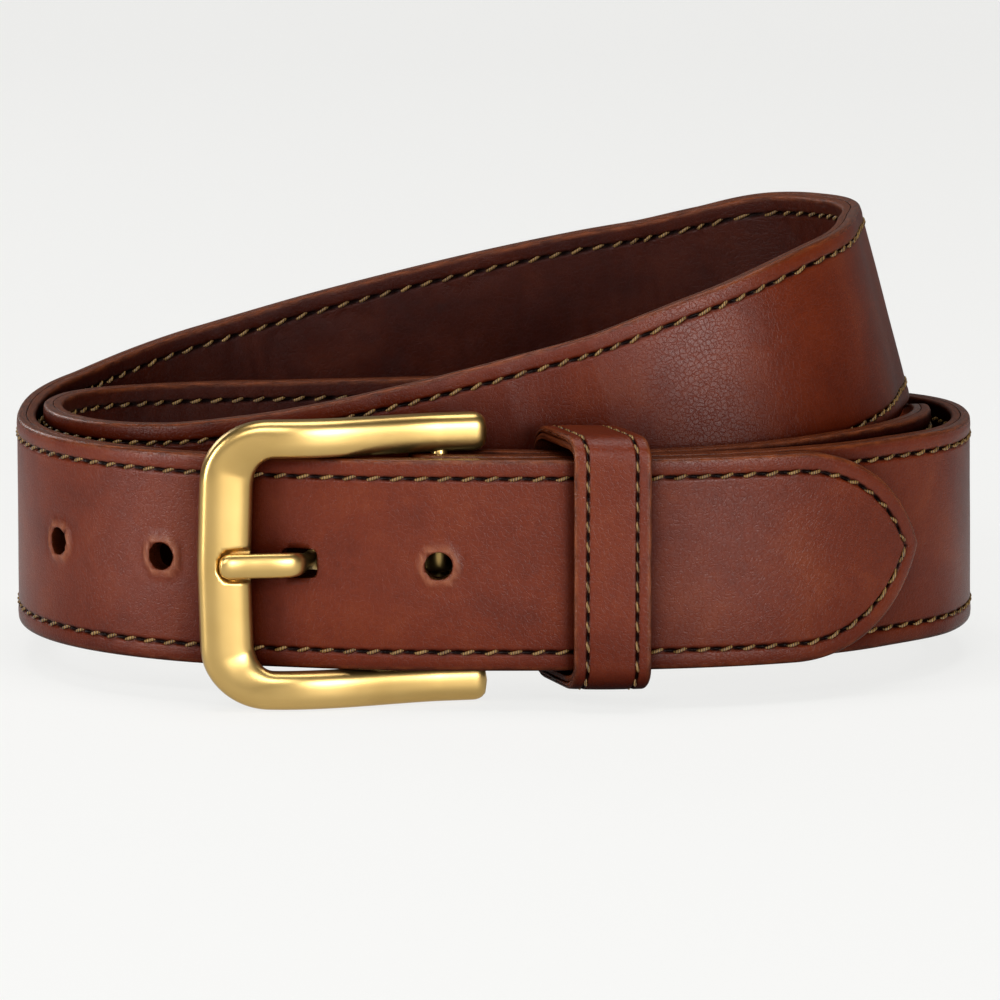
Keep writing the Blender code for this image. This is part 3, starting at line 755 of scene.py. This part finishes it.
def make_hinge_bar(finish):
    low, high = (np.array(corner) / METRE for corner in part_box("hinge_bar"))
    z = np.linspace(low[2], high[2], 12)
    turns = np.arange(48) * math.tau / 48
    centre = (low + high) / 2
    x = centre[0] + HINGE_RADIUS * np.cos(turns)[None, :] + 0 * z[:, None]
    y = centre[1] + HINGE_RADIUS * np.sin(turns)[None, :] + 0 * z[:, None]
    points = np.stack([x, y, z[:, None] + 0 * x], axis=-1) - SHIFT
    mesh = grid_mesh("belt_hinge_bar", points)
    return new_object("belt_hinge_bar", mesh, "buckle", finish, "hinge_bar")


# ---------------------------------------------------------------- keeper


def keeper_line(step=0.6):
    """Points round the keeper's outer face, with outward directions, from the butt joint at the back."""
    (front, back), (low, high) = KEEPER_Y, KEEPER_Z
    middle = (low + high) / 2
    corners = ((back, high, 0), (front, high, 90), (front, low, 180), (back, low, 270))
    outline = [(back, middle + BUTT_HALF_GAP)]
    for y, z, turn in corners:
        centre_y = y + math.copysign(KEEPER_CORNER, (front + back) / 2 - y)
        centre_z = z + math.copysign(KEEPER_CORNER, middle - z)
        for angle in np.radians(turn + np.linspace(0, 90, 13)):
            step_y, step_z = KEEPER_CORNER * math.cos(angle), KEEPER_CORNER * math.sin(angle)
            outline.append((centre_y + step_y, centre_z + step_z))
    outline.append((back, middle - BUTT_HALF_GAP))
    outline = np.array(outline)
    distance = np.concatenate([[0], np.cumsum(np.linalg.norm(np.diff(outline, axis=0), axis=1))])
    wanted = np.arange(0, distance[-1], step)
    y, z = (np.interp(wanted, distance, column) for column in outline.T)
    line = smoothed(np.stack([y, z], axis=1), 2)
    ahead = np.gradient(line, axis=0)
    ahead /= np.linalg.norm(ahead, axis=1)[:, None]
    y, z = line.T
    depth = (y - front) / (back - front)
    x = KEEPER_X + KEEPER_SKEW * depth
    place = np.stack([x, y, z], axis=1)
    out = np.stack([0 * y, ahead[:, 1], -ahead[:, 0]], axis=1)
    return place, out, wanted


def keeper_ply(name, top, bottom, finish, node, detailed):
    """One ply of the keeper between two heights, with creases and a crown where it is detailed."""
    place, out, travelled = keeper_line()
    half = np.full(len(place), KEEPER_WIDTH / 2)
    stitch = half - KEEPER_STITCH_INSET
    upper = face_positions(half, stitch, 6, 11, 8, reach=0.8)
    w = np.concatenate([-upper[:, ::-1], upper[:, 1:]], axis=1)
    distance = half[:, None] - np.abs(w)
    arcs = np.repeat(travelled[:, None], w.shape[1], axis=1)
    height = top - rounded_edge(distance, KEEPER_EDGE_ROUND) + 0 * arcs
    sunk = 0 * height
    if detailed:
        sunk = groove(distance, arcs, KEEPER_STITCH_INSET, KEEPER_PITCH, *KEEPER_GROOVE)
        crown = KEEPER_CROWN * (1 - (w / half[:, None]) ** 2)
        height = height - sunk + crown - KEEPER_CROWN + 0.05 * soft_noise(arcs, w, 9, 6, 21.0)
    wall = ((1.0, 0.85), (1.0, 0.5), (1.0, 0.12), (0.99, 0.0), (0.95, 0.0))
    wall_w = np.stack([half * share for share, _ in wall], axis=1)
    edge = top - KEEPER_EDGE_ROUND
    wall_h = np.stack([bottom + (edge - bottom) * part + 0 * half for _, part in wall], axis=1)
    back_w = np.concatenate([wall_w, 0 * half[:, None], -wall_w[:, ::-1]], axis=1)
    back_h = np.concatenate([wall_h, 0 * half[:, None] + bottom, wall_h[:, ::-1]], axis=1)
    all_w = np.concatenate([w, back_w], axis=1)
    all_h = np.concatenate([height, back_h], axis=1)
    x_axis = np.array([1.0, 0, 0])
    points = place[:, None] + out[:, None] * all_h[..., None] + x_axis * all_w[..., None]
    rim = np.concatenate([distance, np.zeros(back_w.shape)], axis=1)
    along = np.repeat(travelled[:, None], all_w.shape[1], axis=1)
    sunk = np.concatenate([sunk, np.zeros(back_w.shape)], axis=1)
    values = {"rim": rim, "along": along, "across": all_w, "level": all_h, "sunk": sunk}
    return new_object(name, grid_mesh(name, points, values=values), "keeper", finish, node)


def keeper_stitches(name, side, finish, node):
    """A row of stitches round the keeper, near its right edge (side 1) or its left one (side -1)."""
    place, out, travelled = keeper_line(0.2)
    number = int((travelled[-1] - 1) / KEEPER_PITCH)
    t, dive, radius = stitch_shape(11, 0.6)
    first, last = STITCH_SHARE
    arcs = KEEPER_PITCH * (np.arange(number)[:, None] + first + (last - first) * t[None, :])
    depth = -0.22 - np.repeat(dive[None, :], number, axis=0)
    slant = (t[None, :] - 0.5) * 0.6
    w = side * (KEEPER_WIDTH / 2 - KEEPER_STITCH_INSET) + np.repeat(slant, number, axis=0)
    spot = np.stack([np.interp(arcs, travelled, column) for column in place.T], axis=-1)
    away = np.stack([np.interp(arcs, travelled, column) for column in out.T], axis=-1)
    away /= np.linalg.norm(away, axis=-1)[..., None]
    path = spot + away * depth[..., None] + np.array([1.0, 0, 0]) * w[..., None]
    radii = np.repeat(radius[None, :] * 0.85, number, axis=0)
    mesh = many_tubes(name, tube(path, radii, 8))
    return new_object(name, mesh, "keeper", finish, node)


# ---------------------------------------------------------------- materials


class Nodes:
    """A short way to write a material's node tree."""

    def __init__(self, name):
        self.material = bpy.data.materials.new(name)
        self.material.use_nodes = True
        self.tree = self.material.node_tree
        self.tree.nodes.clear()
        self.output = self.add("ShaderNodeOutputMaterial")
        self.shader = self.add("ShaderNodeBsdfPrincipled")
        self.link(self.shader, "BSDF", self.output, "Surface")

    def add(self, kind, **settings):
        node = self.tree.nodes.new(kind)
        for key, value in settings.items():
            if key in node.inputs:
                node.inputs[key].default_value = value
            else:
                setattr(node, key, value)
        return node

    def link(self, source, output, target, socket):
        self.tree.links.new(source.outputs[output], target.inputs[socket])

    def attribute(self, name):
        return self.add("ShaderNodeAttribute", attribute_name=name)

    def maths(self, operation, a, b=None, clamp=False):
        node = self.add("ShaderNodeMath", operation=operation, use_clamp=clamp)
        for index, value in enumerate((a, b)):
            if value is None:
                continue
            if isinstance(value, (int, float)):
                node.inputs[index].default_value = value
            else:
                self.tree.links.new(value, node.inputs[index])
        return node.outputs[0]

    def ramp(self, value, stops):
        node = self.add("ShaderNodeValToRGB")
        elements = node.color_ramp.elements
        while len(elements) < len(stops):
            elements.new(0.5)
        for element, (position, colour) in zip(elements, stops):
            element.position = position
            element.color = (*colour, 1.0) if len(colour) == 3 else colour
        self.tree.links.new(value, node.inputs["Fac"])
        return node.outputs["Color"]

    def mix(self, factor, first, second, blend="MIX"):
        node = self.add("ShaderNodeMix", data_type="RGBA", blend_type=blend)
        for socket, value in (("Factor", factor), ("A", first), ("B", second)):
            target = next(s for s in node.inputs if s.name == socket and s.enabled)
            if isinstance(value, (int, float)):
                target.default_value = value
            elif isinstance(value, tuple):
                target.default_value = (*value, 1.0)
            else:
                self.tree.links.new(value, target)
        return next(s for s in node.outputs if s.enabled)

    def noise(self, scale, detail=4.0, roughness=0.55, vector=None, distortion=0.0):
        node = self.add("ShaderNodeTexNoise")
        node.inputs["Scale"].default_value = scale
        node.inputs["Detail"].default_value = detail
        node.inputs["Roughness"].default_value = roughness
        node.inputs["Distortion"].default_value = distortion
        if vector:
            self.tree.links.new(vector, node.inputs["Vector"])
        return node.outputs["Fac"]

    def cells(self, scale, feature="F1", vector=None):
        node = self.add("ShaderNodeTexVoronoi", feature=feature)
        node.inputs["Scale"].default_value = scale
        if vector:
            self.tree.links.new(vector, node.inputs["Vector"])
        return node.outputs["Distance"]

    def bump(self, height, strength, distance, normal=None):
        node = self.add("ShaderNodeBump")
        node.inputs["Strength"].default_value = strength
        node.inputs["Distance"].default_value = distance
        self.tree.links.new(height, node.inputs["Height"])
        if normal:
            self.tree.links.new(normal, node.inputs["Normal"])
        return node.outputs["Normal"]

    def set(self, socket, value):
        if isinstance(value, (int, float, tuple)):
            self.shader.inputs[socket].default_value = value
        else:
            self.tree.links.new(value, self.shader.inputs[socket])


def strip_coordinates(nodes, scale=(1.0, 1.0, 1.0)):
    """Texture coordinates that follow the strip: millimetres along it, across it and through it."""
    joined = nodes.add("ShaderNodeCombineXYZ")
    for label, socket, size in zip(("along", "across", "level"), "XYZ", scale):
        value = nodes.attribute(label).outputs["Fac"]
        nodes.tree.links.new(nodes.maths("MULTIPLY", value, size), joined.inputs[socket])
    return joined.outputs["Vector"]


def leather(name, dark, middle, light, rim_dark, rim_light, roughness, grain, shine):
    """Mottled leather with burnished edges, stitched creases and a fine crackle, with painted shade in
    hollows and creases and a painted highlight on the lips of the holes.
    """
    nodes = Nodes(name)
    strip = strip_coordinates(nodes)
    cloud = nodes.noise(0.06, 5.0, 0.62, strip, 0.4)
    mottle = nodes.noise(0.8, 6.0, 0.7, strip, 0.6)
    fine = nodes.noise(4.5, 4.0, 0.65, strip)
    tone = nodes.maths("ADD", nodes.maths("MULTIPLY", cloud, 0.7), nodes.maths("MULTIPLY", mottle, 0.3))
    colour = nodes.ramp(tone, ((0.27, dark), (0.5, middle), (0.77, light)))
    # The cut and burnished edge: streaked along the strap, with a lighter line at its corners.
    streak = nodes.noise(1.0, 3.0, 0.6, strip_coordinates(nodes, (0.25, 0.0, 3.2)))
    edge = nodes.ramp(streak, ((0.35, rim_dark), (0.68, rim_light)))
    rim = nodes.attribute("rim").outputs["Fac"]
    corner = nodes.ramp(rim, ((0.0, (1, 1, 1)), (0.45, (0.8, 0.8, 0.8)), (1.0, (0, 0, 0))))
    colour = nodes.mix(corner, colour, edge)
    # Painted highlight: the raised lip round each hole is lightened in colour.
    lip_highlight = nodes.attribute("lip_highlight").outputs["Fac"]
    colour = nodes.mix(nodes.maths("MULTIPLY", lip_highlight, 0.6), colour, (0.30, 0.11, 0.055))
    # Painted shade: the crease along the stitches and the pits in it are darkened by their depth.
    sunk = nodes.attribute("sunk").outputs["Fac"]
    shade = nodes.maths("MULTIPLY", sunk, 2.2, clamp=True)
    colour = nodes.mix(shade, colour, (0.010, 0.003, 0.002))
    # Painted shade: an ambient occlusion lookup darkens the colour of hollows and of the places where two
    # turns nearly touch, and dulls their shine.
    hollow = nodes.add("ShaderNodeAmbientOcclusion", Distance=0.022, samples=8)
    openness = hollow.outputs["AO"]
    shadow = nodes.ramp(openness, ((0.15, (0.10, 0.05, 0.04)), (0.60, (0.50, 0.42, 0.40)), (0.95, (1, 1, 1))))
    nodes.set("Base Color", nodes.mix(1.0, colour, shadow, "MULTIPLY"))
    rough = nodes.maths("ADD", nodes.maths("MULTIPLY", mottle, 0.14), roughness - 0.07)
    rough = nodes.maths("SUBTRACT", rough, nodes.maths("MULTIPLY", corner, 0.08))
    nodes.set("Roughness", rough)
    open_shine = nodes.maths("MULTIPLY", nodes.maths("POWER", openness, 2.0), shine)
    nodes.set("Specular IOR Level", open_shine)
    # A crackle of fine creases, pores and a faint long grain.
    bent = nodes.add("ShaderNodeVectorMath", operation="ADD")
    nodes.tree.links.new(strip, bent.inputs[0])
    shift = nodes.add("ShaderNodeTexNoise", Scale=0.9)
    nodes.tree.links.new(strip, shift.inputs["Vector"])
    nodes.tree.links.new(shift.outputs["Color"], bent.inputs[1])
    crackle = nodes.cells(1.15, "DISTANCE_TO_EDGE", bent.outputs["Vector"])
    crease = nodes.ramp(crackle, ((0.0, (0, 0, 0)), (0.10, (1, 1, 1))))
    pores = nodes.cells(3.1, "F1", strip)
    pore = nodes.ramp(pores, ((0.0, (0, 0, 0)), (0.30, (1, 1, 1))))
    first = nodes.bump(crease, 0.30 * grain, 0.00010)
    second = nodes.bump(pore, 0.25 * grain, 0.00006, first)
    third = nodes.bump(fine, 0.40 * grain, 0.00008, second)
    nodes.set("Normal", nodes.bump(mottle, 0.35 * grain, 0.00015, third))
    return nodes.material


def brass():
    """Brass with a satin finish."""
    nodes = Nodes("satin_brass")
    place = nodes.add("ShaderNodeTexCoord").outputs["Object"]
    wide = nodes.noise(40.0, 4.0, 0.6, place)
    fine = nodes.noise(2500.0, 3.0, 0.6, place)
    colour = nodes.ramp(wide, ((0.3, (0.60, 0.39, 0.13)), (0.7, (0.70, 0.48, 0.18))))
    nodes.set("Base Color", colour)
    nodes.set("Metallic", 1.0)
    rough = nodes.maths("ADD", nodes.maths("MULTIPLY", wide, 0.10), 0.27)
    nodes.set("Roughness", rough)
    nodes.set("Normal", nodes.bump(fine, 0.03, 0.00002))
    return nodes.material


def thread():
    """Twisted thread of uneven tone, with painted shade between its strands."""
    nodes = Nodes("waxed_thread")
    place = nodes.add("ShaderNodeTexCoord").outputs["Object"]
    wave = nodes.add("ShaderNodeTexWave")
    wave.inputs["Scale"].default_value = 700.0
    wave.inputs["Distortion"].default_value = 2.0
    nodes.tree.links.new(place, wave.inputs["Vector"])
    tone = nodes.noise(250.0, 3.0, 0.6, place)
    strands = nodes.maths("MULTIPLY", wave.outputs["Fac"], 0.4)
    twist = nodes.maths("ADD", strands, nodes.maths("MULTIPLY", tone, 0.6))
    dark, middle, light = (0.03, 0.012, 0.003), (0.12, 0.06, 0.012), (0.27, 0.155, 0.04)
    colour = nodes.ramp(twist, ((0.25, dark), (0.5, middle), (0.75, light)))
    nodes.set("Base Color", colour)
    nodes.set("Roughness", 0.5)
    nodes.set("Normal", nodes.bump(wave.outputs["Fac"], 0.4, 0.00008))
    return nodes.material


def steel():
    """Plain wire for the keeper's staple."""
    nodes = Nodes("staple_steel")
    place = nodes.add("ShaderNodeTexCoord").outputs["Object"]
    colour = nodes.ramp(nodes.noise(400.0, vector=place), ((0.3, (0.4, 0.4, 0.4)), (0.7, (0.6, 0.58, 0.55))))
    nodes.set("Base Color", colour)
    nodes.set("Metallic", 1.0)
    nodes.set("Roughness", 0.35)
    return nodes.material


# ---------------------------------------------------------------- studio


def area_light(name, place, target, size, power):
    """A white soft box at a place, turned to face a target."""
    data = bpy.data.lights.new(name, "AREA")
    data.shape = "RECTANGLE"
    data.size, data.size_y = size
    data.energy = power
    light = bpy.data.objects.new(name, data)
    bpy.context.scene.collection.objects.link(light)
    light.location = place
    light.rotation_euler = (Vector(target) - Vector(place)).to_track_quat("-Z", "Y").to_euler()
    return light


def make_stage():
    """A pale floor that curves up into a backdrop."""
    profile = [(-3.0, 0.0), (1.2, 0.0)]
    for angle in np.radians(np.linspace(5, 90, 16)):
        profile.append((1.2 + 0.8 * math.sin(angle), 0.8 - 0.8 * math.cos(angle)))
    profile.append((2.0, 3.0))
    verts = [(x, y, z - 0.0006) for y, z in profile for x in (-4.0, 4.0)]
    faces = [(2 * i, 2 * i + 1, 2 * i + 3, 2 * i + 2) for i in range(len(profile) - 1)]
    mesh = bpy.data.meshes.new("studio_floor")
    mesh.from_pydata(verts, [], faces)
    mesh.shade_smooth()
    nodes = Nodes("pale_paper")
    place = nodes.add("ShaderNodeTexCoord").outputs["Object"]
    cloud = nodes.noise(3.0, vector=place)
    colour = nodes.ramp(cloud, ((0.0, (0.90, 0.90, 0.885)), (1.0, (0.93, 0.93, 0.915))))
    nodes.set("Base Color", colour)
    nodes.set("Roughness", 0.9)
    # The camera sees the paper evenly lit, with only a faint shadow.
    glow = nodes.add("ShaderNodeEmission", Color=(0.915, 0.915, 0.90, 1.0))
    view = nodes.add("ShaderNodeLightPath")
    mirrored = view.outputs["Is Glossy Ray"]
    # Painted light: in reflections the paper glows, bright in front of the belt and dim behind it.
    split = nodes.add("ShaderNodeSeparateXYZ")
    nodes.tree.links.new(place, split.inputs["Vector"])
    front = nodes.maths("SUBTRACT", 0.5, split.outputs["Y"], clamp=True)
    bright = nodes.maths("ADD", nodes.maths("MULTIPLY", front, 0.85), 0.15)
    strength = nodes.maths("MULTIPLY", bright, mirrored)
    strength = nodes.maths("ADD", strength, view.outputs["Is Camera Ray"], clamp=True)
    nodes.tree.links.new(strength, glow.inputs["Strength"])
    seen = nodes.maths("MULTIPLY", view.outputs["Is Camera Ray"], 0.85)
    share = nodes.maths("SUBTRACT", 1.0, nodes.maths("MULTIPLY", front, 0.5))
    seen = nodes.maths("ADD", seen, nodes.maths("MULTIPLY", mirrored, share), clamp=True)
    blend = nodes.add("ShaderNodeMixShader")
    nodes.tree.links.new(seen, blend.inputs["Fac"])
    nodes.tree.links.new(nodes.shader.outputs["BSDF"], blend.inputs[1])
    nodes.tree.links.new(glow.outputs["Emission"], blend.inputs[2])
    nodes.link(blend, "Shader", nodes.output, "Surface")
    mesh.materials.append(nodes.material)
    floor = bpy.data.objects.new("studio_floor", mesh)
    bpy.context.scene.collection.objects.link(floor)


def make_light():
    world = bpy.data.worlds.new("studio")
    bpy.context.scene.world = world
    world.use_nodes = True
    background = world.node_tree.nodes["Background"]
    background.inputs["Color"].default_value = (1.0, 1.0, 0.99, 1.0)
    background.inputs["Strength"].default_value = 0.03
    middle = (0.0, 0.0, 0.04)
    area_light("top_box", (0.0, -0.1, 1.2), middle, (0.9, 0.7), 8.5)
    area_light("key_box", (-0.25, -1.35, 0.72), middle, (0.55, 0.30), 6.8)
    area_light("sheen_box", (0.72, -1.30, 0.28), middle, (0.55, 0.42), 13.0)
    area_light("left_box", (-1.0, -0.55, 0.30), middle, (0.30, 0.60), 9.0)
    area_light("rear_box", (-0.8, 0.95, 0.50), middle, (0.60, 0.40), 3.0)


def make_camera():
    pitch = math.radians(8.6)
    data = bpy.data.cameras.new("camera")
    data.lens = 280.6
    data.sensor_width = 36.0
    camera = bpy.data.objects.new("camera", data)
    bpy.context.scene.collection.objects.link(camera)
    camera.location = (Vector((0.93, -1439.4, 238.4)) + Vector(SHIFT)) * METRE
    camera.rotation_euler = (math.pi / 2 - pitch, 0.0, 0.0)
    bpy.context.scene.camera = camera


# ---------------------------------------------------------------- the belt


def main():
    burnt, amber = (0.045, 0.010, 0.004), (0.17, 0.042, 0.012)
    tones = (0.066, 0.008, 0.002), (0.104, 0.014, 0.003), (0.150, 0.027, 0.006)
    hide = leather("hide", *tones, burnt, amber, 0.31, 1.0, 0.24)
    tones = (0.018, 0.002, 0.001), (0.034, 0.004, 0.001), (0.062, 0.010, 0.003)
    inner = leather("lining_hide", *tones, burnt, amber, 0.40, 1.8, 0.14)
    gold = brass()
    waxed = thread()
    face = strap_ply("belt_strap_face", 1, hide, "strap_outer")
    lining = strap_ply("belt_strap_lining", -1, inner, "strap_lining")
    punch((face, lining))
    for label, row in (("upper", 1), ("lower", -1)):
        strap_stitches(f"belt_{label}_stitches_face", 1, row, waxed, f"{label}_stitching_front")
        strap_stitches(f"belt_{label}_stitches_lining", -1, row, waxed, f"{label}_stitching_back")
    make_frame(gold)
    make_prong(gold)
    make_hinge_bar(gold)
    keeper_ply("belt_keeper_face", 0.0, -1.25, hide, "keeper_outer", True)
    keeper_ply("belt_keeper_lining", -1.3, -2.5, inner, "keeper_lining", False)
    keeper_stitches("belt_keeper_stitches_right", 1, waxed, "keeper_stitching_right")
    keeper_stitches("belt_keeper_stitches_left", -1, waxed, "keeper_stitching_left")
    for node, finish in (("fold_stitching", waxed), ("keeper_staple", steel())):
        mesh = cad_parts[node].data
        mesh.materials.clear()
        mesh.materials.append(finish)
    make_stage()
    make_light()
    make_camera()
    bpy.context.scene.view_settings.view_transform = "Standard"


main()
